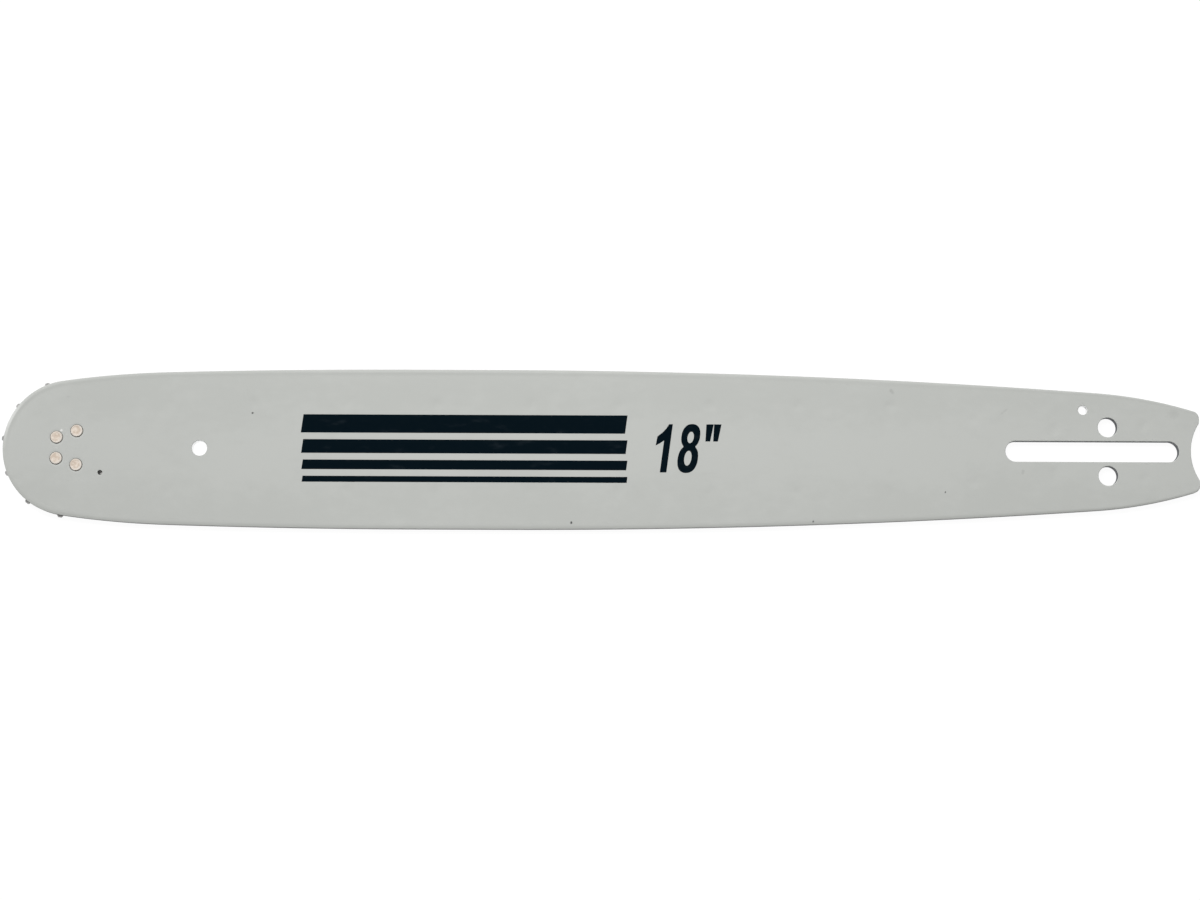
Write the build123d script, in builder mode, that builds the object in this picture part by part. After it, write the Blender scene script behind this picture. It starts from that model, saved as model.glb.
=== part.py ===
"""Laminated chainsaw guide bar with a free-running sprocket nose.

Two painted side plates are spot welded to a narrower core plate, so that a chain groove runs
round the edge. A star sprocket turns between the side plates at the nose, on a ring of rollers
round a disc that four rivets hold. The bar lies flat on its rear plate, nose towards -X, and the
origin is the centre of the stud slot on the underside.
"""

import os
from math import asin, atan2, cos, degrees, floor, pi, sin, sqrt

from build123d import *

# Chain and plies
chain_pitch = 8.255  # half the length over three rivets, a 0.325 inch chain
nose_teeth = 12
ply_thickness = 1.55  # each side plate
groove_gauge = 1.5  # width of the chain groove, and so the thickness of the core plate
groove_depth = 7.5  # from the rail down to the core plate

# Outline of the rails
rail_drop = 2.07  # rivet line of the chain above the rail at the nose
nose_to_slot = 444.0  # nose axis to the centre of the stud slot
shoulder_reach = 41.0  # nose axis to where the shoulder curve meets the belly curve
belly_reach = 148.7  # nose axis to where the two edges start to run parallel
belly_flat = 37.7  # length of the parallel stretch
belly_rise = 5.26  # how much further the belly stands from the axis than the nose does
belly_radius = 3660.0  # long curve from the parallel stretch to the shoulder
flank_end = 2.0  # slot centre to where the tail starts to round
flank_fall = 9.2  # how much closer to the axis the edge is there than at the belly
bevel_width = 1.2  # ground bevel along the rail edges, across the face
bevel_drop = 0.25  # the same bevel, down the edge

# Mounting tail
slot_length = 75.5
slot_width = 9.0
tail_land = 5.1  # metal between the end of the slot and the notch
notch_depth = 3.8  # bottom of the notch to the tail tips
notch_radius = 22.8  # clears the drive sprocket of the saw
tip_land = 4.45  # width of each tail tip between the notch and the rail
tail_corner = min(3.5, 0.75 * tip_land)  # rounding of the tail tips, towards the rails
notch_corner = min(2.5, 0.55 * tip_land)  # rounding of the tail tips, towards the notch
tension_offset = 6.8  # slot centre to the tension holes, along the bar
tension_spacing = 21.2  # between the two tension holes, across the bar
tension_diameter = 8.5
oil_offset = -3.9  # slot centre to the oil hole, along the bar
oil_sink = 0.4  # centre of the oil hole below the floor of the chain groove
oil_diameter = 4.0
hang_reach = 56.0  # nose axis to the hang hole
hang_diameter = 6.6

# Sprocket nose
tip_drop = 1.05  # rivet line of the chain above the tooth tips
tip_width = 2.3  # blunt end of a tooth
tip_chamfer = 0.6
tooth_phase = 22.0  # angle of one tooth from the bar's axis
pocket_clearance = 0.8  # tooth tips to the core plate
horn_rounding = 1.0  # ends of the core plate beside the sprocket
side_clearance = 0.1  # sprocket and rollers to each side plate
race_radius = 15.1
roller_diameter = 3.6
running_clearance = 0.03  # rollers to the race, the sprocket bore and each other
grease_diameter = 2.0
grease_angle = -39.8  # of the grease hole from the bar's axis, on the roller circle
rivet_count = 4
rivet_step = 72.0  # angle from one rivet to the next, starting this far from the bar's axis
rivet_circle = 7.8
rivet_diameter = 5.4  # swaged to fill the holes, with both ends flush
rivet_clearance = 0.02

# Heights of the plies
core_bottom = ply_thickness
core_top = core_bottom + groove_gauge
bar_thickness = core_top + ply_thickness
mid_plane = Plane.XY.offset(bar_thickness / 2)

# Nose circles
nose_x = -nose_to_slot
pitch_radius = chain_pitch / (2 * sin(pi / (2 * nose_teeth)))
nose_radius = pitch_radius - rail_drop
tip_radius = pitch_radius - tip_drop
gullet_radius = tip_radius * sin(pi / nose_teeth) - tip_width / 2
roller_radius = roller_diameter / 2
roller_circle = race_radius + running_clearance + roller_radius
bore_radius = roller_circle + roller_radius + running_clearance
roller_pitch = roller_diameter + running_clearance
roller_count = floor(pi / asin(roller_pitch / (2 * roller_circle)))
moving_thickness = groove_gauge - 2 * side_clearance

# Rail curves: the shoulder arc is the one that touches both the belly arc and the nose circle
belly_half = nose_radius + belly_rise
belly_front = nose_x + belly_reach
belly_rear = belly_front + belly_flat
belly_turn = asin((belly_reach - shoulder_reach) / belly_radius)
join_x = shoulder_reach
join_y = belly_half - belly_radius * (1 - cos(belly_turn))
join_lean = join_y * cos(belly_turn) - join_x * sin(belly_turn)
shoulder_radius = (join_x**2 + join_y**2 - nose_radius**2) / (2 * (join_lean - nose_radius))
shoulder_x = join_x + shoulder_radius * sin(belly_turn)
shoulder_y = join_y - shoulder_radius * cos(belly_turn)
shoulder_turn = atan2(shoulder_x, -shoulder_y) - belly_turn
flank_run = flank_end - belly_rear
flank_radius = (flank_run**2 + flank_fall**2) / (2 * flank_fall)
flank_turn = asin(flank_run / flank_radius)


def flank_half_width(x):
    """Half the width of the bar at a place on the long curve behind the parallel stretch."""
    return belly_half - flank_radius + sqrt(flank_radius**2 - (x - belly_rear) ** 2)


# Tail: its arc leaves the flank without a corner and ends at the tail tip
notch_bottom = slot_length / 2 + tail_land
tail_x = notch_bottom + notch_depth
notch_x = notch_bottom + notch_radius
tail_half = sqrt(notch_radius**2 - (notch_radius - notch_depth) ** 2) + tip_land
tail_run = tail_x - flank_end
tail_fall = belly_half - flank_fall - tail_half
tail_bow = tail_fall * cos(flank_turn) - tail_run * sin(flank_turn)
tail_radius = (tail_run**2 + tail_fall**2) / (2 * tail_bow)
tail_centre_x = flank_end - tail_radius * sin(flank_turn)


def rail_face(inset):
    """Face inside the rails, with every edge moved in from the outline by the inset."""
    tail_turn = asin((tail_x - tail_centre_x) / (tail_radius - inset)) - flank_turn
    belly_edge = belly_half - inset
    with BuildSketch() as face:
        with BuildLine():
            flat = Line((belly_rear, belly_edge), (belly_front, belly_edge))
            belly = JernArc(flat @ 1, (-1, 0), belly_radius - inset, degrees(belly_turn))
            shoulder = JernArc(belly @ 1, belly % 1, shoulder_radius - inset, degrees(shoulder_turn))
            flank = JernArc(flat @ 0, (1, 0), flank_radius - inset, -degrees(flank_turn))
            tail = JernArc(flank @ 1, flank % 1, tail_radius - inset, -degrees(tail_turn))
            mirror(about=Plane.XZ)
            crown = shoulder @ 1
            tip = tail @ 1
            ThreePointArc(crown, (nose_x - nose_radius + inset, 0), (crown.X, -crown.Y))
            Line(tip, (tip.X, -tip.Y))
        make_face()
    return face.sketch


def through_openings():
    """Tail notch, stud slot and round holes that pass through all three plies."""
    oil_y = flank_half_width(oil_offset) - groove_depth - oil_sink
    with BuildSketch() as openings:
        with Locations((notch_x, 0)):
            Circle(notch_radius)
        SlotOverall(slot_length, slot_width)
        with Locations((tension_offset, 0)):
            with GridLocations(0, tension_spacing, 1, 2):
                Circle(tension_diameter / 2)
        with Locations((oil_offset, oil_y)):
            Circle(oil_diameter / 2)
        with Locations((nose_x + hang_reach, 0)):
            Circle(hang_diameter / 2)
    return openings.sketch


# Front side plate
with BuildPart() as side_plate_front:
    with BuildSketch(Plane.XY.offset(core_top)) as plate_outline:
        add(rail_face(0))
        fillet(plate_outline.vertices().group_by(Axis.X)[-1], tail_corner)
    extrude(amount=ply_thickness)
    outer_face = side_plate_front.faces().sort_by(Axis.Z)[-1]
    chamfer(outer_face.outer_wire().edges(), bevel_width, bevel_drop, reference=outer_face)
    with BuildSketch(Plane.XY.offset(core_top)):
        add(through_openings())
        with Locations((nose_x, 0)):
            with PolarLocations(roller_circle, 1, grease_angle):
                Circle(grease_diameter / 2)
            with PolarLocations(rivet_circle, rivet_count, rivet_step, rivet_count * rivet_step):
                Circle(rivet_diameter / 2 + rivet_clearance)
    extrude(amount=ply_thickness, mode=Mode.SUBTRACT)
    tip_edges = side_plate_front.edges().filter_by(Axis.Z).group_by(Axis.X)[-1]
    fillet(tip_edges.sort_by(lambda edge: abs(edge.center().Y))[:2], notch_corner)
side_plate_front.part.label = "side_plate_front"

# Rear side plate, the same plate turned over
with BuildPart() as side_plate_rear:
    mirror(side_plate_front.part, about=mid_plane)
side_plate_rear.part.label = "side_plate_rear"

# Core plate, set in by the groove and hollowed round the sprocket
with BuildPart() as core_plate:
    with BuildSketch(Plane.XY.offset(core_bottom)) as core_outline:
        add(rail_face(groove_depth))
        add(through_openings(), mode=Mode.SUBTRACT)
        with Locations((nose_x, 0)):
            Circle(tip_radius + pocket_clearance, mode=Mode.SUBTRACT)
        fillet(core_outline.vertices().group_by(Axis.X)[0], horn_rounding)
    extrude(amount=groove_gauge)
core_plate.part.label = "core_plate"

# Nose sprocket: a star with a round gullet between each two teeth
with BuildPart() as nose_sprocket:
    with BuildSketch(Plane.XY.offset(core_bottom + side_clearance)) as star:
        with Locations((nose_x, 0)):
            Circle(tip_radius)
            with PolarLocations(tip_radius, nose_teeth, tooth_phase + 180 / nose_teeth):
                Circle(gullet_radius, mode=Mode.SUBTRACT)
        chamfer(star.vertices(), tip_chamfer)
        with Locations((nose_x, 0)):
            Circle(bore_radius, mode=Mode.SUBTRACT)
    extrude(amount=moving_thickness)
nose_sprocket.part.label = "nose_sprocket"

# Inner race of the nose bearing, clamped between the side plates
with BuildPart() as bearing_race:
    with BuildSketch(Plane.XY.offset(core_bottom)):
        with Locations((nose_x, 0)):
            Circle(race_radius)
            with PolarLocations(rivet_circle, rivet_count, rivet_step, rivet_count * rivet_step):
                Circle(rivet_diameter / 2 + rivet_clearance, mode=Mode.SUBTRACT)
    extrude(amount=groove_gauge)
bearing_race.part.label = "bearing_race"

# Nose rivets, from one outer face to the other
with BuildPart() as nose_rivets:
    with BuildSketch():
        with Locations((nose_x, 0)):
            with PolarLocations(rivet_circle, rivet_count, rivet_step, rivet_count * rivet_step):
                Circle(rivet_diameter / 2)
    extrude(amount=bar_thickness)
nose_rivets.part.label = "nose_rivets"

os.makedirs("parts", exist_ok=True)
for piece in (side_plate_front, side_plate_rear, core_plate, nose_sprocket, bearing_race, nose_rivets):
    export_step(piece.part, f"parts/{piece.part.label}.step")

# Bearing rollers, side by side round the race
for index in range(roller_count):
    with BuildPart() as roller:
        with BuildSketch(Plane.XY.offset(core_bottom + side_clearance)):
            with Locations((nose_x, 0)):
                with PolarLocations(roller_circle, 1, index * 360 / roller_count):
                    Circle(roller_radius)
        extrude(amount=moving_thickness)
    roller.part.label = f"bearing_roller_{index + 1:02d}"
    export_step(roller.part, f"parts/{roller.part.label}.step")

bar_length = tail_x - nose_x + nose_radius
print(f"bar {bar_length:.1f} mm long, {2 * belly_half:.1f} mm wide, {bar_thickness:.2f} mm thick")
print(f"shoulder radius {shoulder_radius:.0f} mm, tail radius {tail_radius:.0f} mm, {roller_count} rollers")
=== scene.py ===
# %% [markdown]
# # A chainsaw guide bar, lit for its portrait
# A guide bar is a flat sandwich of three steel plies. Two painted side plates are spot welded to a narrower
# core, so a groove for the chain runs round the edge, and a small star sprocket turns inside the nose.
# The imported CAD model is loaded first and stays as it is. The pieces below are laid over it, in the same
# frame: the nose points to -X, the tail to +X, and the bar lies flat on the floor at z = 0.

from math import asin, atan2, cos, degrees, pi, radians, sin, sqrt, tan

import bmesh
import bpy
import numpy as np
from mathutils import Euler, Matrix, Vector
from mathutils.geometry import delaunay_2d_cdt


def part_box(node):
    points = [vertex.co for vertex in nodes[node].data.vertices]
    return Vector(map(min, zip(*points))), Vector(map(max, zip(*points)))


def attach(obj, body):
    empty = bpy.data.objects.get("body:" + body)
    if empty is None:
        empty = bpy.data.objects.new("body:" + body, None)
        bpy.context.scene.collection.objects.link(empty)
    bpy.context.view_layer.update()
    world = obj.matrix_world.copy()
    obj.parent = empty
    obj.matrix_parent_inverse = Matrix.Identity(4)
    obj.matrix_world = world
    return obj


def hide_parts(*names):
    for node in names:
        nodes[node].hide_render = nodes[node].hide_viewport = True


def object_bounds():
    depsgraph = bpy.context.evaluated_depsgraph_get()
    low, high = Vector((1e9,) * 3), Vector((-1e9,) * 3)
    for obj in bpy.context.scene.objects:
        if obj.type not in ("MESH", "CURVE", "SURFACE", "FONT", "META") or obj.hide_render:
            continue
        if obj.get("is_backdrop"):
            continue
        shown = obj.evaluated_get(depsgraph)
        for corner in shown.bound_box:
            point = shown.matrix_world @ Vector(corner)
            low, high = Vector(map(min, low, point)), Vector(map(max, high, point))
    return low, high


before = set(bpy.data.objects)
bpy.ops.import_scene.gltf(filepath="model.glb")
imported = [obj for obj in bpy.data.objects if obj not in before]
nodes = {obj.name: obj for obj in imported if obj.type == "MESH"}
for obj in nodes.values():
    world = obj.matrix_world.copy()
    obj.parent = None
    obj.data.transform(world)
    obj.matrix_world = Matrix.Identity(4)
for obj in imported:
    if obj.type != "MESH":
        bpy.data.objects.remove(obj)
cad_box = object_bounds()

# %% [markdown]
# ## Sizes from the frame
# A bar is drawn in millimetres, so the lengths of its pieces are too, and `MM` turns them into metres at
# the last moment. What the frame can tell is read from it: the plies give the heights, the race the nose
# axis, the plates the reach of the outline. Radii and places of holes are written where they are needed.

# %% Sizes
MM = 0.001


def node_box(name):
    """Lowest and highest corner of a node of the frame, in millimetres."""
    low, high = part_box(name)
    return np.array(low) / MM, np.array(high) / MM


plate_low, plate_high = node_box("side_plate_front")
rear_low, rear_high = node_box("side_plate_rear")
race_low, race_high = node_box("bearing_race")

bar_top = plate_high[2]
nose_x = (race_low[0] + race_high[0]) / 2
nose_radius = nose_x - plate_low[0]
belly_half = plate_high[1]
tail_x = plate_high[0]
print(f"nose axis at x = {nose_x:.1f}, nose radius {nose_radius:.2f}, half width {belly_half:.2f} mm")

# %% [markdown]
# ## The outline as arcs
# The edge of a bar is a row of smooth arcs, so that the chain slides round it without a kick: nose circle,
# shoulder, long belly, flat, long flank, rounded tail, and a notch that clears the saw's own sprocket.
# It could be traced as a spline, but arcs that touch give the exact curve and, for free, the direction into
# the metal at each point, which is what the bevels further down are built on.

# %% Arcs of the outline
belly_reach = 148.7  # from the nose axis to the front of the flat
belly_flat = 37.7
belly_radius = 3660.0
shoulder_reach = 41.0  # from the nose axis to where shoulder and belly meet
flank_end = 2.0  # x where the flank meets the tail's arc
flank_fall = 9.2
notch_depth = 3.8
notch_radius = 22.8
tip_land = 4.45  # edge between the notch and the tail's arc, before its corners are rounded
tail_corner = 3.34
notch_corner = 2.45

# The shoulder touches the belly's arc where they meet, and the nose circle.
belly_front = nose_x + belly_reach
belly_rear = belly_front + belly_flat
belly_turn = asin((belly_reach - shoulder_reach) / belly_radius)
join_y = belly_half - belly_radius * (1 - cos(belly_turn))
join_lean = join_y * cos(belly_turn) - shoulder_reach * sin(belly_turn)
shoulder_radius = (shoulder_reach**2 + join_y**2 - nose_radius**2) / (2 * (join_lean - nose_radius))
shoulder_x = shoulder_reach + shoulder_radius * sin(belly_turn)
shoulder_y = join_y - shoulder_radius * cos(belly_turn)
crown_angle = pi / 2 + atan2(shoulder_x, -shoulder_y)

# The tail's arc leaves the flank without a kink and ends at the tip of the tail.
flank_run = flank_end - belly_rear
flank_radius = (flank_run**2 + flank_fall**2) / (2 * flank_fall)
flank_turn = asin(flank_run / flank_radius)
notch_x = tail_x - notch_depth + notch_radius
tail_half = sqrt(notch_radius**2 - (notch_radius - notch_depth) ** 2) + tip_land
tail_run = tail_x - flank_end
tail_fall = belly_half - flank_fall - tail_half
tail_lean = tail_fall * cos(flank_turn) - tail_run * sin(flank_turn)
tail_radius = (tail_run**2 + tail_fall**2) / (2 * tail_lean)
tail_arc_x = flank_end - tail_radius * sin(flank_turn)
tail_arc_y = belly_half - flank_fall - tail_radius * cos(flank_turn)
print(f"radii: shoulder {shoulder_radius:.0f}, flank {flank_radius:.0f}, tail {tail_radius:.0f} mm")


# %% Outline loop
def arc(centre, radius, start, stop, count, metal=-1):
    """Points centre + radius * (cos a, sin a) for even steps of the angle a, with the unit normals into the
    metal: towards the centre where metal is -1, away from it where metal is 1."""
    angles = np.linspace(start, stop, count)
    outward = np.stack((np.cos(angles), np.sin(angles)), axis=1)
    return np.array(centre) + radius * outward, metal * outward


def run(start, stop, count, normal):
    """Evenly spaced points of a straight run, all with the same normal into the metal."""
    return np.linspace(start, stop, count), np.full((count, 2), normal, float)


def joined(parts):
    """Points and normals of arcs and runs that touch end to end, with each shared point once."""
    starts = [[side[:-1] for side in part] for part in parts]
    end = [side[-1:] for side in parts[-1]]
    return [np.concatenate(sides) for sides in zip(*starts, end)]


def bar_outline():
    """Loop round the bar, anticlockwise from the bottom of the notch: arcs for the upper half, and the same
    points at -y for the lower. Returns points, normals into the metal, and how much of a rail each point
    is: 0 in the notch, rising round the tail's corner to 1."""
    inner_x = tail_x - notch_corner
    inner_y = sqrt((notch_radius + notch_corner) ** 2 - (notch_x - inner_x) ** 2)
    outer_x = tail_x - tail_corner
    outer_y = tail_arc_y + sqrt((tail_radius - tail_corner) ** 2 - (outer_x - tail_arc_x) ** 2)
    notch_angle = atan2(inner_y, inner_x - notch_x)
    tail_angle = atan2(outer_y - tail_arc_y, outer_x - tail_arc_x)
    notch = [
        arc((notch_x, 0), notch_radius, pi, notch_angle, count=26, metal=1),
        arc((inner_x, inner_y), notch_corner, notch_angle - pi, 0, count=14),
        run((tail_x, inner_y), (tail_x, outer_y), count=3, normal=(-1, 0)),
    ]
    corner = arc((outer_x, outer_y), tail_corner, 0, tail_angle, count=14)
    rail = [
        arc((tail_arc_x, tail_arc_y), tail_radius, tail_angle, pi / 2 - flank_turn, count=40),
        arc((belly_rear, belly_half - flank_radius), flank_radius, pi / 2 - flank_turn, pi / 2, count=70),
        run((belly_rear, belly_half), (belly_front, belly_half), count=10, normal=(0, -1)),
        arc((belly_front, belly_half - belly_radius), belly_radius, pi / 2, pi / 2 + belly_turn, count=30),
        arc((nose_x + shoulder_x, shoulder_y), shoulder_radius, pi / 2 + belly_turn, crown_angle, count=26),
        arc((nose_x, 0), nose_radius, crown_angle, pi, count=120),
    ]
    points, normals = joined([*notch, corner, *rail])
    corner_start = sum(len(part[0]) - 1 for part in notch)
    corner_steps = len(corner[0]) - 1
    share = np.clip((np.arange(len(points)) - corner_start) / corner_steps, 0, 1)
    flip = np.array((1.0, -1.0))
    halves = ((points, points * flip), (normals, normals * flip), (share, share))
    return [np.concatenate((upper, lower[-2:0:-1])) for upper, lower in halves]


outline, outline_normals, rail_share = bar_outline()
print(f"{len(outline)} points round the bar")

# %% [markdown]
# ## Openings
# A bar is full of holes: the slot for the saw's studs, two holes for the tension pin, an oil hole over
# the groove, a hole to hang it by, a pin-sized grease hole, and the seats of four rivets. Boolean modifiers
# could cut them, but give no say over the edges. So each is a loop with normals that point away from the
# hole, and the same bevel code works for rim and hole alike.

# %% Hole loops
slot_length, slot_width = 75.5, 9.0
tension_x, tension_y, tension_radius = 6.8, 10.6, 4.25
oil_x, oil_radius = -3.9, 2.0
groove_depth, oil_sink = 7.5, 0.4  # the oil hole's middle lies just past the bottom of the groove
hang_reach, hang_radius = 56.0, 3.3
grease_circle, grease_angle, grease_radius = 16.93, radians(-39.8), 1.0
rivet_circle, rivet_step, rivet_radius = 7.8, radians(72.0), 2.7
seat_gap, seat_shift = 0.12, (0.085, -0.1)  # a seat is a little wider than its rivet, and off its axis

flank_y = belly_half - flank_radius + sqrt(flank_radius**2 - (oil_x - belly_rear) ** 2)
oil_y = flank_y - groove_depth - oil_sink
grease_place = (nose_x + grease_circle * cos(grease_angle), grease_circle * sin(grease_angle))
rivet_places, _ = arc((nose_x, 0), rivet_circle, rivet_step, 4 * rivet_step, count=4)  # four of five places


def round_hole(centre, radius, count):
    """Closed circle of points, with normals that point away from the centre into the metal."""
    points, normals = arc(centre, radius, 0, 2 * pi, count + 1, metal=1)
    return points[:-1], normals[:-1]


def slot_hole(length, width, end_count, side_count):
    """Closed slot: two half circles of the slot's width, joined by straight runs."""
    reach = (length - width) / 2
    points, normals = joined([
        arc((reach, 0), width / 2, -pi / 2, pi / 2, end_count, metal=1),
        run((reach, width / 2), (-reach, width / 2), side_count, (0, 1)),
        arc((-reach, 0), width / 2, pi / 2, 3 * pi / 2, end_count, metal=1),
        run((-reach, -width / 2), (reach, -width / 2), side_count, (0, -1)),
    ])
    return points[:-1], normals[:-1]


through_holes = {
    "stud_slot": slot_hole(slot_length, slot_width, end_count=40, side_count=28),
    "upper_tension_hole": round_hole((tension_x, tension_y), tension_radius, count=72),
    "lower_tension_hole": round_hole((tension_x, -tension_y), tension_radius, count=72),
    "oil_hole": round_hole((oil_x, oil_y), oil_radius, count=48),
    "hang_hole": round_hole((nose_x + hang_reach, 0), hang_radius, count=60),
    "grease_hole": round_hole(grease_place, grease_radius, count=36),
}
reamed_holes = ("oil_hole", "hang_hole")
rivet_seats = [round_hole(place + seat_shift, rivet_radius + seat_gap, count=64) for place in rivet_places]
print(f"{len(through_holes)} open holes and {len(rivet_seats)} rivet seats")

# %% [markdown]
# ## From loops to solid plates
# A stamped plate has flat faces, rolled or ground edges and straight walls. The outline could be extruded
# and rounded by a Bevel modifier, but the edges here differ from place to place. So a small profile, a list
# of (inset, depth) pairs, is carried along each loop, and a Delaunay net fills the faces between the loops.


# %% Profile along a loop
def carry(points, normals, inset, depth):
    """Rings of a profile carried along a loop: ring k is the loop moved into the metal by inset[k] and sunk
    under the outer face by depth[k]. Both may differ from point to point. Shape: rings x points x 3."""
    inset = np.broadcast_to(inset, (inset.shape[0], len(points)))
    depth = np.broadcast_to(depth, inset.shape)
    return np.dstack((points[None] + inset[..., None] * normals[None], depth))


def ring_quads(rings, count, first):
    """Quads between each ring and the next, round a closed loop, as vertex numbers from first on."""
    ring, step = np.meshgrid(np.arange(rings - 1), np.arange(count), indexing="ij")
    here = first + ring * count + step
    beside = first + ring * count + (step + 1) % count
    return np.stack((here, beside, beside + count, here + count), axis=-1).reshape(-1, 4)


print(f"{len(ring_quads(2, len(outline), 0))} quads from one ring of the outline to the next")

# %% Filled faces
inner_triangles, merge_distance = 1, 1e-7  # the kind of net to make, and how close points merge


def inside(points, loop):
    """True where a ray to +X from the point crosses the closed loop an odd number of times."""
    start, stop = loop, np.roll(loop, -1, axis=0)
    y = points[:, 1, None]
    spans = (start[:, 1] > y) != (stop[:, 1] > y)
    rise = np.where(stop[:, 1] == start[:, 1], 1.0, stop[:, 1] - start[:, 1])
    cross = start[:, 0] + (y - start[:, 1]) * (stop[:, 0] - start[:, 0]) / rise
    return np.sum(spans & (points[:, 0, None] < cross), axis=1) % 2 == 1


def within(points, loops):
    """True inside the first loop and outside the holes in it: such a point is inside one loop only."""
    return np.sum([inside(points, loop) for loop in loops], axis=0) == 1


def numbered(loops):
    """Numbers of each loop's points when the loops are set end to end."""
    starts = np.cumsum([0] + [len(loop) for loop in loops])
    return [np.arange(start, stop) for start, stop in zip(starts[:-1], starts[1:])]


def fill(points, loops):
    """Triangles inside the first loop and outside the others: a Delaunay net of all the points that keeps
    each loop as edges, less the triangles whose middle falls outside."""
    edges = np.concatenate([np.stack((loop, np.roll(loop, -1)), axis=1) for loop in loops])
    net = delaunay_2d_cdt(points.tolist(), edges.tolist(), [], inner_triangles, merge_distance, True)
    net_faces, net_sources = net[2:4]
    triangles = np.array(net_sources)[:, 0][np.array(net_faces)]
    return triangles[within(points[triangles].mean(axis=1), [points[loop] for loop in loops])]


print(f"{len(fill(outline, numbered([outline])))} triangles fill the outline alone")


# %% Pieces
def add_object(name, data):
    """New object in the scene, at the origin."""
    thing = bpy.data.objects.new(name, data)
    bpy.context.scene.collection.objects.link(thing)
    return thing


def add_piece(name, vertices, faces, material, body, marks=None):
    """Smooth mesh object from arrays in millimetres, with outward normals and marks at its points."""
    mesh = bpy.data.meshes.new(name)
    mesh.from_pydata((vertices * MM).tolist(), [], faces)
    for mark, values in (marks or {}).items():
        mesh.attributes.new(mark, "FLOAT", "POINT").data.foreach_set("value", values.astype(np.float32))
    shell = bmesh.new()
    shell.from_mesh(mesh)
    bmesh.ops.recalc_face_normals(shell, faces=shell.faces)
    shell.to_mesh(mesh)
    shell.free()
    mesh.shade_smooth()
    mesh.materials.append(material)
    piece = add_object(name, mesh)
    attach(piece, body)
    print(f"{name}: {len(vertices)} points, {len(faces)} faces")
    return piece


# %% [markdown]
# ## Node helpers
# Every finish is procedural: noise for mottling, distances for specks, and marks on the meshes for walls
# and worn edges. The nodes could be wired by hand in the Shader Editor, but a script can be repeated, and
# these helpers keep it short enough to read as a recipe.


# %% Nodes and materials
def feed(tree, socket, value):
    """Links an output to an input socket, or sets the socket to a plain number, vector or colour."""
    if isinstance(value, bpy.types.NodeSocket):
        tree.links.new(value, socket)
    elif socket.type == "RGBA":
        socket.default_value = (*value, 1.0)
    else:
        socket.default_value = value


def add_node(tree, kind, inputs=None, **settings):
    """Outputs of a new shader node. Settings are its properties, inputs what feeds its sockets."""
    node = tree.nodes.new("ShaderNode" + kind)
    for key, value in settings.items():
        setattr(node, key, value)
    for key, value in (inputs or {}).items():
        feed(tree, node.inputs[key], value)
    return node.outputs


def new_material(name):
    """Material with a plain Principled shader, and its node tree."""
    material = bpy.data.materials.new(name)
    material.use_nodes = True
    return material, material.node_tree


def finish_material(material, inputs):
    """Feeds the material's Principled shader, and says how many nodes the finish took."""
    tree = material.node_tree
    for key, value in inputs.items():
        feed(tree, tree.nodes["Principled BSDF"].inputs[key], value)
    print(f"{material.name}: {len(tree.nodes)} shader nodes")
    return material


# %% Values for the nodes
soft_noise, firm_noise = (0.3, 0.7), (0.35, 0.65)  # ranges of a noise for soft and firm contrast
endless = 1e6  # a length that sets no limit along its axis


def noise(tree, scale, stretch=(1, 1, 1), detail=3.0, roughness=0.55):
    """Value of a noise with so many features per metre, stretched along the axes of the object."""
    place = add_node(tree, "TexCoord")["Object"]
    spread = add_node(tree, "Mapping", {"Vector": place, "Scale": stretch})[0]
    sizes = {"Vector": spread, "Scale": scale, "Detail": detail, "Roughness": roughness}
    return add_node(tree, "TexNoise", sizes)["Fac"]


def away_from(tree, centre, lengths, turn=0.0):
    """Distance from a place, measured in the given lengths along axes turned by so many degrees about z."""
    place = add_node(tree, "TexCoord")["Object"]
    sizes = {"Vector": place, "Location": np.array(centre) * MM, "Scale": np.array(lengths) * MM}
    sizes["Rotation"] = (0, 0, radians(turn))
    own = add_node(tree, "Mapping", sizes, vector_type="TEXTURE")[0]
    return add_node(tree, "VectorMath", {0: own}, operation="LENGTH")["Value"]


def remap(tree, value, source, target=(0.0, 1.0)):
    """Value moved from one range to another, smoothly and clamped at both ends."""
    keys = ("Value", "From Min", "From Max", "To Min", "To Max")
    inputs = dict(zip(keys, (value, *source, *target)))
    return add_node(tree, "MapRange", inputs, interpolation_type="SMOOTHSTEP")["Result"]


def combine(tree, operation, first, *others):
    """Sum, product, largest or smallest of a row of sockets and numbers."""
    for other in others:
        first = add_node(tree, "Math", {0: first, 1: other}, operation=operation)[0]
    return first


def blend(tree, share, first, second, kind="RGBA"):
    """Mix of two colours, or of two numbers if the kind is FLOAT, by a share from 0 to 1."""
    (a, b), mixed = {"RGBA": ((6, 7), 2), "FLOAT": ((2, 3), 0)}[kind]  # the Mix sockets for each kind
    return add_node(tree, "Mix", {"Factor": share, a: first, b: second}, data_type=kind)[mixed]


def bump(tree, height, depth):
    """Normal that the height bends, for relief of about so many millimetres."""
    return add_node(tree, "Bump", {"Height": height, "Distance": depth * MM})["Normal"]
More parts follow.
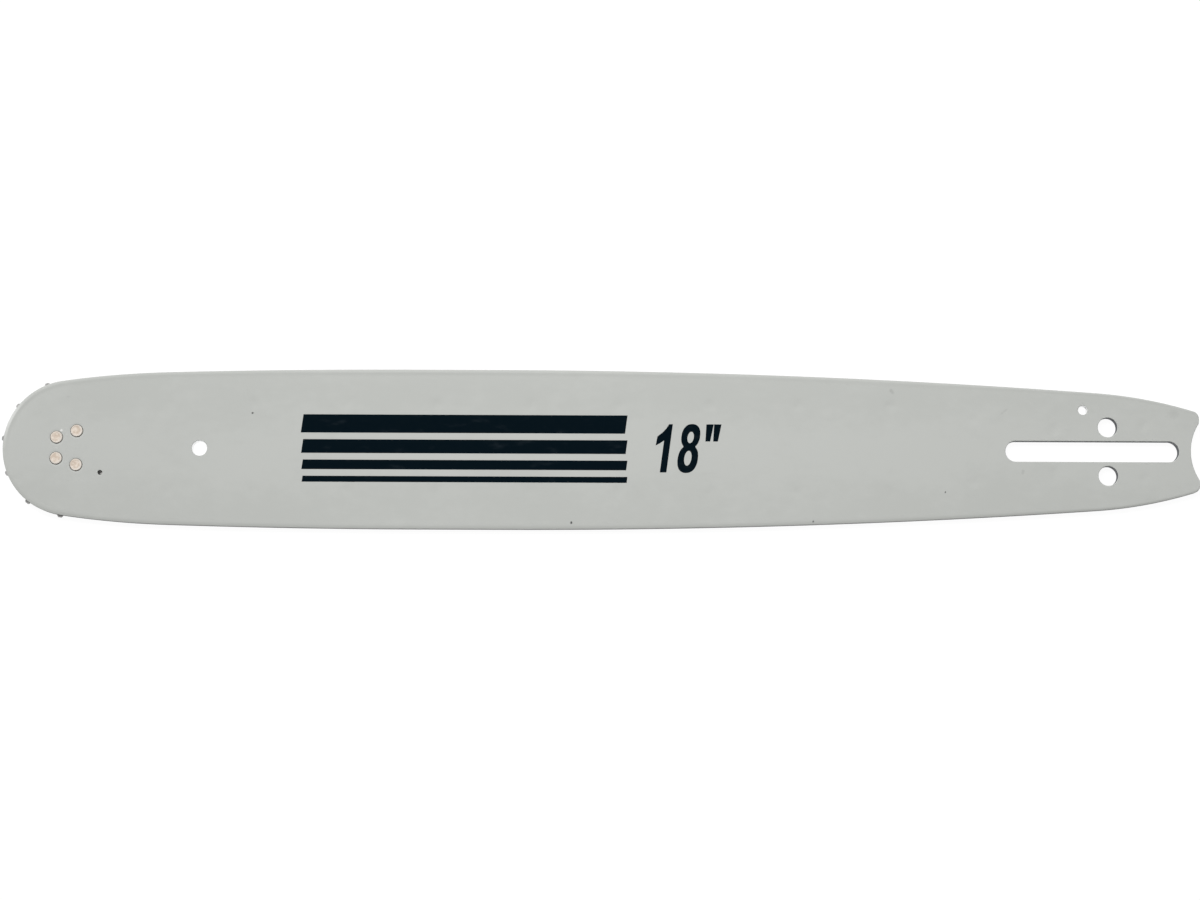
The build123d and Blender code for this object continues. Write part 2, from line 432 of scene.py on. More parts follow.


# %% [markdown]
# ## Grey bar paint
# The plates are sprayed a flat warm grey over ground steel. Seen close, the paint has a soft mottle along
# the bar, a fine grain, and a few specks and scuffs from handling. The mottle also carries a painted sheen
# along the middle, and the nose's bevel gets a painted highlight. A picture of it would only fit one view,
# so the mottle is noise and each speck is the distance from its place. The walls are bare steel, and marks
# on the plates' meshes say where; the punched walls are made darker than bare steel, as painted shade.

# %% Grey bar paint
paint_light = (0.521, 0.533, 0.510)
paint_dark = (0.496, 0.508, 0.485)
mottle_sheen_range, paint_rough, grind_relief = (0.34, 0.66), (0.53, 0.57), 0.25
sheen_half, sheen_lift = 24.0, (0.15, -0.09)  # painted sheen: paler along the middle, darker this far off it
# painted highlight: paler paint on the nose's upper-left bevel, where the light glints
nose_highlight_paint = (0.68, 0.69, 0.67)
rail_steel, rail_metal, ground_share = (0.26, 0.26, 0.26), 0.8, 0.8
# bare punched steel, made near black as painted shade inside the holes and the rivet seats
punched_steel_shade, punched_metal = (0.04, 0.048, 0.058), 0.5
reamed_steel, reamed_rough = (0.92, 0.92, 0.92), 0.45
paint_marks = ("rail_wall", "punched_wall", "reamed_wall", "painted_nose_highlight")

speck_colour = (0.05, 0.05, 0.05)
specks = [  # x, y, half length, half width, turn in degrees, strength
    (-365.2, 15.4, 0.6, 0.5, 0, 1.0),
    (-226.2, -31.9, 0.68, 0.55, 70, 1.0),
    (-121.5, -31.0, 0.6, 0.45, 90, 0.75),
    (-64.1, -18.0, 0.5, 0.36, 80, 0.85),
    (-87.0, 26.2, 1.6, 0.95, -50, 0.16),
    (-38.2, 17.3, 2.6, 0.6, 40, 0.085),
    (-30.3, -9.0, 1.6, 0.7, 75, 0.12),
    (35.6, 16.6, 3.2, 2.4, 20, 0.075),
    (-445.5, 22.3, 1.0, 0.5, 0, 0.08),
]
chip_colour = (0.78, 0.78, 0.76)
chip = (-448.2, 7.6, 0.95, 0.6, 35, 1.0)
spot_depth = 0.4  # half height of a spot, so that it stays off the rear face
spot_ragged, spot_fade = (-0.25, 0.25), (0.35, 1.1)  # shares of its radius


def spot(tree, x, y, half_length, half_width, turn, strength):
    """Share of a spot: an ellipse on the front face, full in the middle and ragged at its edge."""
    away = away_from(tree, (x, y, bar_top), (half_length, half_width, spot_depth), turn)
    ragged = remap(tree, noise(tree, scale=1400.0), soft_noise, spot_ragged)
    return remap(tree, combine(tree, "ADD", away, ragged), spot_fade, (strength, 0.0))


def make_bar_paint():
    """Matt grey paint with mottle, a painted sheen along the middle, grain, specks and a painted highlight
    on the nose's edge, and bare steel where the marks say so, darkened as painted shade in punched walls.
    """
    material, tree = new_material("grey_bar_paint")
    rail, punched, reamed, nose_highlight = [
        add_node(tree, "Attribute", attribute_name=mark)["Fac"] for mark in paint_marks
    ]
    streaks = noise(tree, scale=240.0, stretch=(0.6, 1.0, 1.0), detail=4.0)
    clouds = noise(tree, scale=45.0, stretch=(0.7, 1.0, 1.0), detail=2.0)
    halves = [combine(tree, "MULTIPLY", layer, 0.5) for layer in (streaks, clouds)]
    # painted sheen along the middle, added to the random mottle
    off_middle = away_from(tree, (0, 0, 0), (endless, sheen_half, endless))
    mottle_and_sheen = combine(tree, "ADD", *halves, remap(tree, off_middle, (0.0, 1.0), sheen_lift))
    paint = blend(tree, remap(tree, mottle_and_sheen, mottle_sheen_range), paint_dark, paint_light)
    dark_spots = combine(tree, "MAXIMUM", *[spot(tree, *speck) for speck in specks])
    paint = blend(tree, dark_spots, paint, speck_colour)
    paint = blend(tree, spot(tree, *chip), paint, chip_colour)
    # painted highlight on the nose's bevel
    paint = blend(tree, nose_highlight, paint, nose_highlight_paint)

    grind = noise(tree, scale=900.0, stretch=(0.05, 0.05, 1.0), detail=2.0)
    ground = blend(tree, grind, rail_steel, tuple(ground_share * part for part in rail_steel))
    colour = blend(tree, rail, paint, ground)
    # punched walls and rivet seats take the painted shade
    colour = blend(tree, punched, colour, punched_steel_shade)
    colour = blend(tree, reamed, colour, reamed_steel)
    bare_rail = combine(tree, "MULTIPLY", rail, rail_metal)
    bare_hole = combine(tree, "MULTIPLY", punched, punched_metal)
    rough = remap(tree, streaks, soft_noise, paint_rough)
    faint_grind = combine(tree, "MULTIPLY", grind, grind_relief)
    grain = combine(tree, "ADD", noise(tree, scale=1100.0, detail=2.0), faint_grind)
    return finish_material(material, {
        "Base Color": colour,
        "Metallic": combine(tree, "MAXIMUM", bare_rail, bare_hole, reamed),
        "Roughness": blend(tree, reamed, rough, reamed_rough, "FLOAT"),
        "Normal": bump(tree, grain, depth=0.012),
        "Specular IOR Level": 0.2,
    })


bar_paint = make_bar_paint()

# %% [markdown]
# ## Side plates
# The plates carry most of the look: a flat painted face, softly rolled hole edges, and two rows of dents
# where the spot welds pulled the sheet in. The nose and part of the upper rail have a ground lip with a
# hollow beside it, the lower rail is a soft roll, and a painted highlight makes the nose's bevel pale.
# Dents could be bump, but a light that grazes the bar shows real relief better, so rings of points in the
# net are sunk.

# %% Edge profiles
lip_profile = np.array([  # inset and depth of hollow, lip, ground bevel, edge and wall
    (4.4, 0.0), (3.6, 0.032), (2.9, 0.062), (2.5, 0.064), (2.15, 0.044), (1.8, 0.008),
    (1.5, -0.023), (1.25, -0.028), (1.05, -0.008), (0.14, 0.13), (0.03, 0.19), (0.0, 0.34),
])
soft_profile = np.array([  # the same, where the bevel was hardly ground
    (5.6, 0.0), (4.4, 0.010), (3.2, 0.024), (2.6, 0.028), (2.15, 0.021), (1.8, 0.006),
    (1.5, -0.012), (1.25, -0.022), (1.05, -0.02), (0.14, 0.03), (0.03, 0.09), (0.0, 0.24),
])
roll_profile = np.array([  # flat, soft roll, edge and wall
    (4.4, 0.0), (3.5, 0.0), (2.6, 0.0), (2.1, 0.001), (1.75, 0.006), (1.5, 0.014),
    (1.25, 0.03), (1.05, 0.05), (0.85, 0.078), (0.14, 0.21), (0.03, 0.25), (0.0, 0.34),
])
seat_profile = np.array([  # shallow dish round a hammered head, then the wall
    (1.1, 0.0), (0.9, 0.003), (0.7, 0.012), (0.5, 0.03), (0.34, 0.05), (0.2, 0.068),
    (0.12, 0.078), (0.07, 0.086), (0.04, 0.10), (0.02, 0.13), (0.005, 0.2), (0.0, 0.34),
])
back_profile = np.array([(0.0, -0.12), (0.035, -0.035), (0.12, 0.0), (0.3, 0.0)])  # from the inner face
lip_places = (-458.0, -446.0, -422.0, -357.0, -325.0, -292.0, -259.0, -194.0, -161.0)  # x along the rail
lip_shares = (1.0, 0.3, 0.0, 0.2, 0.65, 0.8, 0.65, 0.5, 0.0)  # how much of the full lip is there
roll_from, roll_over = 0.55, 0.6  # y of the inward normal from which all is roll, and the fade before it
fade_places = (-80.0, 20.0)  # x between which the bevel shrinks towards the tail
fade_loss = np.array((0.5, 0.2))  # shares of its width and depth that it loses there


def rolled_edge(width, drop, flat=1.5):
    """Profile of a softly rolled edge: a flat start, then the quarter ellipse with the inset
    width * (1 - sin t) and the depth drop * (1 - cos t), in as many rows as the rail's profiles have."""
    turn = np.linspace(0, pi / 2, len(lip_profile) - 1)
    quarter = np.column_stack((width * (1 - np.sin(turn)), drop * (1 - np.cos(turn))))
    return np.vstack(((flat * width, 0.0), quarter))


def rail_profile():
    """Profile of the rail at each point of the outline: a blend of lip and soft bevel on the upper side and
    the nose, of roll on the lower side, and of the holes' rolled edge where the rail ends at the notch."""
    upper = np.clip((roll_from - outline_normals[:, 1]) / roll_over, 0, 1)[:, None]
    lip = np.interp(outline[:, 0], lip_places, lip_shares)[:, None]
    lipped = lip_profile[:, None] * lip + soft_profile[:, None] * (1 - lip)
    bevel = lipped * upper + roll_profile[:, None] * (1 - upper)
    fade = np.interp(outline[:, 0], fade_places, (0.0, 1.0))[:, None]
    share = (1 - fade_loss * fade) * rail_share[:, None]
    return bevel * share + edge_profile[:, None] * (1 - share)


edge_profile = rolled_edge(width=0.30, drop=0.22)
print(f"{len(lip_profile)} rows to an edge, at most {rail_profile()[..., 0].max():.1f} mm wide")

# %% Spot welds
weld_radius, weld_depth = 3.6, 0.13
weld_row = np.array((-401.4, -364.5, -323.6, -284.3, -243.9, -205.8, -166.0, -128.0, -87.6))
weld_upper, weld_lower = 19.6, -18.2
tail_welds = np.array(((-51.7, 13.9), (-16.5, 9.7), (22.6, 11.7)))
weld_rows = [np.column_stack((weld_row, np.full(len(weld_row), y))) for y in (weld_upper, weld_lower)]
welds = np.concatenate((*weld_rows, tail_welds, tail_welds * (1, -1)))
lower_share = 0.75  # the lower dents are shallower
least_share, share_range, share_step = 0.65, 0.6, 0.618  # each weld's share of the depth, by its number
oval_share, oval_step = 0.18, 2.4  # how far a dent is from round, and its turn from one weld to the next
ring_count, ring_shares = 20, np.array((0.2, 0.4, 0.6, 0.8, 1.0))
field_step = 5.0
loop_clear, weld_clear = 0.45 * field_step, 0.3 * field_step


def weld_sink(points):
    """Depth of the dents at the points: d * (1 - (r / weld_radius)^2)^2 inside each weld's radius. There d
    is weld_depth times a share that differs with weld and row, and a little with the direction."""
    step = points[:, None] - welds[None]
    away = np.linalg.norm(step, axis=2) / weld_radius
    number = np.arange(len(welds))
    share = least_share + share_range * (number * share_step % 1)
    share = share * np.where(welds[:, 1] > 0, 1.0, lower_share)
    turn = 2 * np.arctan2(step[..., 1], step[..., 0]) + oval_step * number
    oval = 1 + oval_share * np.cos(turn) * np.minimum(1, 2 * away)
    return weld_depth * np.max(share * oval * np.clip(1 - away**2, 0, 1) ** 2, axis=1)


def weld_rings():
    """Rings of points round each weld, closer than the formula's bend, with one point in the middle."""
    turns = np.arange(ring_count) * 2 * pi / ring_count
    turn, reach = np.meshgrid(turns, weld_radius * ring_shares)
    ring = np.stack((reach * np.cos(turn), reach * np.sin(turn)), axis=-1).reshape(-1, 2)
    ring = np.vstack((ring, (0, 0)))
    return (welds[:, None] + ring[None]).reshape(-1, 2)


def nearest(points, others):
    """Distance from each point to the nearest of the others."""
    return np.min(np.linalg.norm(points[:, None] - others[None], axis=2), axis=1)


def field_points(loops):
    """Even net of points over the face, off the loops and the welds, so that its triangles stay plump."""
    columns = np.arange(plate_low[0], tail_x, field_step)
    x, y = np.meshgrid(columns, np.arange(-belly_half, belly_half, field_step))
    x = x + field_step / 2 * (np.arange(len(x)) % 2)[:, None]
    points = np.stack((x, y), axis=-1).reshape(-1, 2)
    keep = within(points, loops) & (nearest(points, welds) > weld_radius + weld_clear)
    return points[keep & (nearest(points, np.concatenate(loops)) > loop_clear)]


print(f"{len(welds)} spot welds, at most {weld_sink(weld_rings()).max():.3f} mm deep")

# %% Side plates
ink_thickness = 0.03  # the painted faces lie this far inside the CAD box
bare_rows = np.concatenate((np.zeros(len(lip_profile) - 2), (0.3, 1.0), np.ones(len(back_profile))))
highlight_rows = np.array((0, 0, 0, 0, 0, 0, 0, 0.15, 0.9, 1.0))  # most of the painted highlight on the bevel itself
highlight_turn, highlight_spread = radians(155.0), radians(15.0)  # where round the nose axis the highlight is painted


def edge_grids(thickness):
    """Rings of bevel, wall and inner edge along each loop: outline, open holes and rivet seats."""
    back = back_profile + (0, thickness)
    rim_highlight = np.concatenate((rail_profile(), np.repeat(back[:, None], len(outline), axis=1)))
    grids = [carry(outline, outline_normals, rim_highlight[..., 0], rim_highlight[..., 1])]
    for loops, profile in ((through_holes.values(), edge_profile), (rivet_seats, seat_profile)):
        rows = np.concatenate((profile, back))
        grids += [carry(points, normals, rows[:, :1], rows[:, 1:]) for points, normals in loops]
    return grids


def marks_for_paint(grids, firsts, count):
    """Marks from 0 to 1 for the paint at each point of a plate: bare walls of three kinds, and the nose's
    painted highlight, exp(-((a - highlight_turn) / highlight_spread)^2) for the angle a about the nose
    axis."""
    kinds = ["reamed_wall" if name in reamed_holes else "punched_wall" for name in through_holes]
    kinds = ["rail_wall"] + kinds + ["punched_wall"] * len(rivet_seats)
    marks = {mark: np.zeros(count) for mark in paint_marks}
    for kind, grid, first in zip(kinds, grids, firsts):
        marks[kind][first : first + grid[..., 0].size] = np.repeat(bare_rows, grid.shape[1])
    turn = np.arctan2(outline[:, 1], outline[:, 0] - nose_x)
    highlight_share = np.exp(-(((turn - highlight_turn) / highlight_spread) ** 2)) * (outline[:, 0] < nose_x)
    marks["painted_nose_highlight"][: len(highlight_rows) * len(outline)] = np.outer(highlight_rows, highlight_share).ravel()
    return marks


def make_side_plate(name, outer_z, inner_z):
    """Closed plate: rings along each loop, and a filled face each side, the outer one with its dents."""
    grids = edge_grids(abs(outer_z - inner_z))
    firsts = np.cumsum([0] + [grid[..., 0].size for grid in grids])
    quads = [ring_quads(len(grid), grid.shape[1], first) for grid, first in zip(grids, firsts)]
    front_loops = [first + np.arange(grid.shape[1]) for grid, first in zip(grids, firsts)]
    back_loops = [loop + (len(grid) - 1) * grid.shape[1] for grid, loop in zip(grids, front_loops)]

    flat = np.concatenate((weld_rings(), field_points([grid[0, :, :2] for grid in grids])))
    flat = np.column_stack((flat, weld_sink(flat)))
    vertices = np.concatenate([grid.reshape(-1, 3) for grid in grids] + [flat])
    on_face = np.concatenate(front_loops + [np.arange(firsts[-1], len(vertices))])
    on_back = np.concatenate(back_loops)
    local = numbered(front_loops)
    face = on_face[fill(vertices[on_face, :2], local)]
    inner = on_back[fill(vertices[on_back, :2], local)]

    vertices[:, 2] = outer_z + np.sign(inner_z - outer_z) * vertices[:, 2]
    faces = np.concatenate(quads).tolist() + face.tolist() + inner.tolist()
    marks = marks_for_paint(grids, firsts, len(vertices))
    return add_piece(name, vertices, faces, bar_paint, "bar", marks)


front_plate = make_side_plate("front_side_plate", bar_top - ink_thickness, plate_low[2])
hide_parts("side_plate_front")
rear_plate = make_side_plate("rear_side_plate", rear_low[2] + ink_thickness, rear_high[2])
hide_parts("side_plate_rear")

# %% [markdown]
# ## Rivets
# Four soft rivets with a thin copper wash clamp the plates to the race of the nose bearing. Hammered all
# but flush, they have a dish where the punch struck, a greyer rim that is paler at the lower right as a
# painted highlight, and a fine dark ring at the seat, partly painted shade on the seat's wall. A disc with
# bump would do from above, but not from the side, so each is a lathe shape: a profile of radius and height,
# turned about its axis.

# %% Rivet copper
copper_light = (0.735, 0.65, 0.565)
copper_dark = (0.57, 0.475, 0.39)
# greyer, paler rim colour, which also serves as a painted highlight at the lower right
copper_rim_highlight = (0.68, 0.635, 0.58)
copper_rough, rim_highlight_fade, rim_highlight_most = (0.5, 0.7), (0.55, 0.95), 0.85
rim_highlight_shift = (-0.25, 0.25)  # painted highlight: the rim's middle is moved up and left, so the pale rim is widest at the lower right


def make_rivet_copper():
    """Pale copper with hammered blotches, a fine grain, and a duller, paler rim that paints a highlight at
    the lower right.
    """
    material, tree = new_material("rivet_copper")
    blotch = remap(tree, noise(tree, scale=700.0, detail=4.0), firm_noise)
    struck = blend(tree, blotch, copper_light, copper_dark)
    head = (rivet_radius, rivet_radius, endless)
    middles = [away_from(tree, (*(place + rim_highlight_shift), 0), head) for place in rivet_places]
    rim_highlight = remap(tree, combine(tree, "MINIMUM", *middles), rim_highlight_fade, (0.0, rim_highlight_most))
    return finish_material(material, {
        "Base Color": blend(tree, rim_highlight, struck, copper_rim_highlight),
        "Roughness": remap(tree, noise(tree, scale=1600.0), soft_noise, copper_rough),
        "Normal": bump(tree, noise(tree, scale=1000.0), depth=0.04),
        "Metallic": 0.12,
        "Specular IOR Level": 0.25,
    })


rivet_copper = make_rivet_copper()

# %% Rivets
head_profile = np.array([  # radius, depth of a flat head
    (0.0, 0.0), (0.8, 0.0), (1.45, 0.0), (1.75, 0.0), (2.0, 0.0), (2.2, 0.0),
    (2.34, 0.0), (2.44, 0.02), (2.52, 0.08), (2.58, 0.2), (2.7, 0.6),
])
head_dish = np.array((0.09, 0.09, 0.084, 0.068, 0.034, 0.01, 0.0, 0.0, 0.0, 0.0, 0.0))  # at those radii
dish_shares = (1.0, 0.55, 0.15, 0.85)  # how hard each head was struck
rivet_points, plug_points = 56, 32  # round a rivet and a grease plug


def turned(name, turnings, count, material, body):
    """Lathe shapes. Each turning is a centre and a profile of (radius, height) rows, the first and last on
    the axis. Each other row is a ring of (radius * cos a, radius * sin a, height) for even angles a."""
    step = np.arange(count)
    circle, _ = round_hole((0, 0), 1.0, count)
    vertices, faces, first = [], [], 0
    for (x, y), profile in turnings:
        rings = (x, y) + profile[1:-1, :1, None] * circle
        wall = np.column_stack((rings.reshape(-1, 2), np.repeat(profile[1:-1, 1], count)))
        poles = np.array(((x, y, profile[0, 1]), (x, y, profile[-1, 1])))
        fan = np.stack((np.full(count, len(wall)), step, (step + 1) % count), axis=1)
        far_fan = fan + (1, len(wall) - count, len(wall) - count)
        vertices += [wall, poles]
        faces += ring_quads(len(profile) - 2, count, first).tolist()
        faces += (fan + first).tolist() + (far_fan + first).tolist()
        first += len(wall) + len(poles)
    return add_piece(name, np.concatenate(vertices), faces, material, body)


def rivet_profile(dish_share):
    """Profile of a whole rivet: the upper head from its middle out, then the lower head back in."""
    radius, depth = head_profile[:, 0], head_profile[:, 1] + dish_share * head_dish
    upper_head = np.column_stack((radius, bar_top - depth))
    lower_head = np.column_stack((radius, rear_low[2] + depth))
    return np.concatenate((upper_head, lower_head[::-1]))


rivet_turnings = [(place, rivet_profile(share)) for place, share in zip(rivet_places, dish_shares)]
rivets = turned("rivet_heads", rivet_turnings, rivet_points, rivet_copper, "bar")
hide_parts("nose_rivets")

# %% [markdown]
# ## Core, sprocket and bearing
# The core shows only at the bottom of the groove and inside the slot, the sprocket only by its tooth tips.
# They could be rebuilt like the plates, but their CAD shapes are already right. So they keep them and get
# steels: dark and oily for the core, brighter and scuffed for the teeth, polished for race and rollers.

# %% Steels of the inner parts
tone_share = 0.65  # the darker tone of a steel, as a share of its colour
less_rough, more_rough = 0.08, 0.1  # range of its roughness
reamed_fade = (1.02, 1.06)  # shares of a reamed hole's radius where its brightness ends


def make_steel(name, colour, rough, metallic, scratches, reamed=()):
    """Bare steel: two tones of the colour in noise, and scratches with so many features per metre. Round a
    reamed hole, given as x, y and radius, the steel is bright and satin."""
    material, tree = new_material(name)
    patches = remap(tree, noise(tree, scale=160.0, detail=4.0), firm_noise)
    shade = blend(tree, patches, colour, tuple(tone_share * part for part in colour))
    fine = noise(tree, scale=scratches, stretch=(1.0, 0.12, 1.0), detail=2.0)
    finish = remap(tree, fine, soft_noise, (rough - less_rough, rough + more_rough))
    gloss = metallic
    for x, y, radius in reamed:
        near = remap(tree, away_from(tree, (x, y, 0), (radius, radius, endless)), reamed_fade, (1.0, 0.0))
        shade = blend(tree, near, shade, reamed_steel)
        finish = blend(tree, near, finish, reamed_rough, "FLOAT")
        gloss = blend(tree, near, gloss, 1.0, "FLOAT")
    return finish_material(material, {
        "Base Color": shade,
        "Metallic": gloss,
        "Roughness": finish,
        "Normal": bump(tree, fine, depth=0.01),
    })


bright_holes = ((oil_x, oil_y, oil_radius), (nose_x + hang_reach, 0, hang_radius))
steels = {  # material, colour, roughness, how metallic, scratches per metre
    "core": make_steel("core_steel", (0.065, 0.07, 0.08), 0.5, 0.5, 700.0, bright_holes),
    "nose_sprocket": make_steel("sprocket_steel", (0.32, 0.315, 0.31), 0.4, 0.7, 900.0),
    "bearing": make_steel("bearing_steel", (0.45, 0.45, 0.46), 0.25, 0.9, 1200.0),
}
for start, steel in steels.items():
    dressed = [node.data.materials for name, node in nodes.items() if name.startswith(start)]
    for materials in dressed:
        materials.clear()
        materials.append(steel)
    print(f"{len(dressed)} nodes in {steel.name}")

# %% [markdown]
# ## Grease in the nose
# The pin-sized hole beside the rivets lets a grease gun reach the rollers, and on a new bar it is full. A
# dark disc would do for the portrait, but would look flat from the side. So each plug is turned like the
# rivets: it fills the hole and its free end is hollow, as grease that has drawn back.

# %% Grease
grease_colour = (0.012, 0.011, 0.010)
# pale colour of the swirls and of the painted glint
grease_swirl_and_glint = (0.5, 0.49, 0.47)
swirl_range, swirl_share, grease_rough = (0.5, 0.7), 0.3, (0.2, 0.4)
glint_shift, glint_halves, glint_turn = (0.5, -0.3), (0.5, 0.36), 30  # a painted glint beside the middle
grease_play = 0.01


def make_grease_look():
    """Nearly black grease with a wet sheen, a few paler swirls and one painted glint."""
    material, tree = new_material("nose_grease")
    swirl = remap(tree, noise(tree, scale=1100.0), swirl_range)
    glint_place = (*np.add(grease_place, glint_shift), 0)
    away = away_from(tree, glint_place, (*glint_halves, endless), glint_turn)
    # painted glint on the grease
    painted_glint = remap(tree, away, (0.5, 1.0), (1.0, 0.0))
    swirls_and_glint = combine(tree, "MAXIMUM", combine(tree, "MULTIPLY", swirl, swirl_share), painted_glint)
    return finish_material(material, {
        "Base Color": blend(tree, swirls_and_glint, grease_colour, grease_swirl_and_glint),
        "Roughness": remap(tree, swirl, (0.0, 1.0), grease_rough),
        "Normal": bump(tree, noise(tree, scale=900.0), depth=0.05),
        "Specular IOR Level": 0.2,
    })


grease_look = make_grease_look()
grease_fit = grease_radius - grease_play
grease_profile = np.array([  # radius, height above the plate's inner face
    (0.0, 0.75), (0.4, 0.78), (0.7, 0.86), (0.9, 1.0), (grease_fit, 1.15), (grease_fit, 0.05), (0.0, 0.05),
])
front_plug = grease_profile + (0, plate_low[2])
rear_plug = grease_profile * (1, -1) + (0, rear_high[2])
plug_turnings = [(grease_place, front_plug), (grease_place, rear_plug)]
turned("nose_grease_plugs", plug_turnings, plug_points, grease_look, "bar")

# %% [markdown]
# ## Printed stripes and size mark
# Bars are screen printed in one dark ink. This one carries four plain stripes that thin out downwards, and
# its cutting length in inches. A mask in the paint could draw them, but real ink is a film a few hundredths
# of a millimetre thick with a clean edge. So it is modelled as a film, with the plates' own fill.

# %% Printing ink
ink_colour = (0.0015, 0.0055, 0.009)
ink_worn = (0.010, 0.016, 0.021)
thin_range, ink_rough = (0.55, 0.8), (0.5, 0.65)


def make_printing_ink():
    """Near-black blue ink, a little thinner and duller in streaks."""
    material, tree = new_material("printing_ink")
    thin = remap(tree, noise(tree, scale=220.0, stretch=(0.4, 1.0, 1.0), detail=5.0), thin_range)
    return finish_material(material, {
        "Base Color": blend(tree, thin, ink_colour, ink_worn),
        "Roughness": remap(tree, noise(tree, scale=500.0), soft_noise, ink_rough),
        "Normal": bump(tree, noise(tree, scale=1100.0, detail=2.0), depth=0.008),
        "Specular IOR Level": 0.012,
    })


printing_ink = make_printing_ink()

# %% Printed stripes
stripe_left, stripe_length, stripe_top, stripe_gap = -343.0, 141.0, 15.0, 2.9
stripe_heights = np.array((8.0, 6.0, 4.2, 2.6))
stripe_steps = stripe_heights + stripe_gap
stripe_tops = stripe_top - np.cumsum(stripe_steps) + stripe_steps
lean = tan(radians(7.6))


def make_film(name, shapes):
    """Closed film of ink for each shape, an outer loop and any holes: the filled shape at the top and again
    just under the paint, joined by walls."""
    heights = (bar_top, bar_top - 2 * ink_thickness)
    vertices, faces, first = [], [], 0
    for loops in shapes:
        points = np.concatenate(loops)
        local = numbered(loops)
        triangles = fill(points, local)
        for height in heights:
            vertices.append(np.column_stack((points, np.full(len(points), height))))
        pairs = np.concatenate([np.stack((loop, np.roll(loop, -1)), axis=1) for loop in local])
        walls = np.column_stack((pairs, pairs[:, ::-1] + len(points)))
        for part in (triangles, len(points) + triangles, walls):
            faces += (first + part).tolist()
        first += len(heights) * len(points)
    film = add_piece(name, np.concatenate(vertices), faces, printing_ink, "bar")
    film.data.shade_flat()


def slanted(points, origin):
    """Points moved to an origin and leaned to the right, by x + y * tan of the lean."""
    return np.array(origin) + points @ np.array(((1.0, 0.0), (lean, 1.0)))


def stripe(height, top):
    """Corners of one slanted stripe, from its upper edge down."""
    corners = np.array(((0, -height), (stripe_length, -height), (stripe_length, 0), (0, 0)))
    return slanted(corners, (stripe_left, top))


make_film("printed_stripes", [[stripe(height, top)] for height, top in zip(stripe_heights, stripe_tops)])

# %% Printed size mark
digit_height, digit_stroke, fullness = 21.1, 2.85, 2.3
lower_lobe, upper_lobe = (4.4, 6.1, 5.9), (4.05, 5.35, 15.85)  # half width, half height, middle
lower_eye, upper_eye = (1.58, 3.25, 6.25), (1.38, 2.5, 15.35)  # the same for the two holes
mark_place = np.array((-187.95, -9.85))
eight_x, inch_places = 11.35, (17.5, 20.87)


def oval(half_width, half_height, middle, count=48):
    """Closed ellipse about a place on the digit's own axis."""
    circle, _ = round_hole((0, 0), 1.0, count)
    return circle * (half_width, half_height) + (0, middle)


def lobe(height, half_width, half_height, middle):
    """Half width at a height of the full oval |x / a|^n + |y / b|^n = 1, with n a little over 2."""
    reach = np.abs((height - middle) / half_height)
    return half_width * np.clip(1 - reach**fullness, 0, 1) ** (1 / fullness)


def figure_eight(count=90):
    """Outer loop and two holes of an 8. At each height the half width is the larger of two lobes' own, and
    the heights are closest at foot and head, by (1 - cos t) / 2."""
    foot, head = lower_lobe[2] - lower_lobe[1], upper_lobe[2] + upper_lobe[1]
    height = foot + (head - foot) / 2 * (1 - np.cos(np.linspace(0, pi, count)))
    half = np.maximum(lobe(height, *lower_lobe), lobe(height, *upper_lobe))
    right = np.stack((half, height), axis=1)
    return [np.concatenate((right, right[-2:0:-1] * (-1, 1))), oval(*lower_eye), oval(*upper_eye)]


figure_one = np.array((
    (0, 0), (digit_stroke, 0), (digit_stroke, digit_height), (1.25, digit_height), (0.2, 19.1),
    (-1.2, 17.4), (-3.15, 15.7), (-3.35, 11.8), (-1.6, 12.75), (0, 13.95),
))
inch_stroke = np.array(((0.5, 13.6), (2.55, 13.6), (3.15, digit_height), (-0.05, digit_height)))
characters = [([figure_one], 0), (figure_eight(), eight_x), *[([inch_stroke], x) for x in inch_places]]
make_film("printed_size_mark", [
    [slanted(loop, mark_place + (x, 0)) for loop in loops] for loops, x in characters
])

# %% [markdown]
# ## Floor and light
# The portrait is a catalogue shot: the bar lies on white, lit from the upper left by a broad light. Lamps
# could make the floor white, but would wash out the bar. So it looks white to the camera by Light Path,
# with some plain diffuse left in it for the bar's shadow. The key light is a sun with a wide disc, whose
# direction sets which bevels brighten. A long soft box over the upper rail shades the face a little.

# %% Floor
floor_half, floor_drop = 4.0, 0.00002  # metres
floor_glow, floor_soft, floor_plain = 0.955, 0.10, 0.8

floor_mesh = bpy.data.meshes.new("floor")
corners = floor_half * np.array(((-1, -1, 0), (1, -1, 0), (1, 1, 0), (-1, 1, 0))) - (0, 0, floor_drop)
floor_mesh.from_pydata(corners.tolist(), [], [(0, 1, 2, 3)])
floor = add_object("floor", floor_mesh)
floor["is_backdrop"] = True


def seen_directly(tree):
    """1 for rays from the camera and for those that a shiny or clear surface sends on, 0 for the rest."""
    path = add_node(tree, "LightPath")
    seen = [path[kind] for kind in ("Is Camera Ray", "Is Glossy Ray", "Is Transmission Ray")]
    return combine(tree, "MAXIMUM", *seen)


def make_white_floor():
    """Pale floor: white with a faint shadow where it is seen, plain diffuse where it lights the bar."""
    material, tree = new_material("white_floor")
    tree.nodes.remove(tree.nodes["Principled BSDF"])
    glow = add_node(tree, "Emission", {"Color": (1, 1, 1), "Strength": floor_glow})[0]
    soft, plain = [
        add_node(tree, "BsdfDiffuse", {"Color": (level, level, level)})[0]
        for level in (floor_soft, floor_plain)
    ]
    white = add_node(tree, "AddShader", {0: glow, 1: soft})[0]
    mixed = add_node(tree, "MixShader", {0: seen_directly(tree), 1: plain, 2: white})[0]
    feed(tree, tree.nodes["Material Output"].inputs["Surface"], mixed)
    return material


floor_mesh.materials.append(make_white_floor())
print(f"floor {2 * floor_half:.0f} m wide")

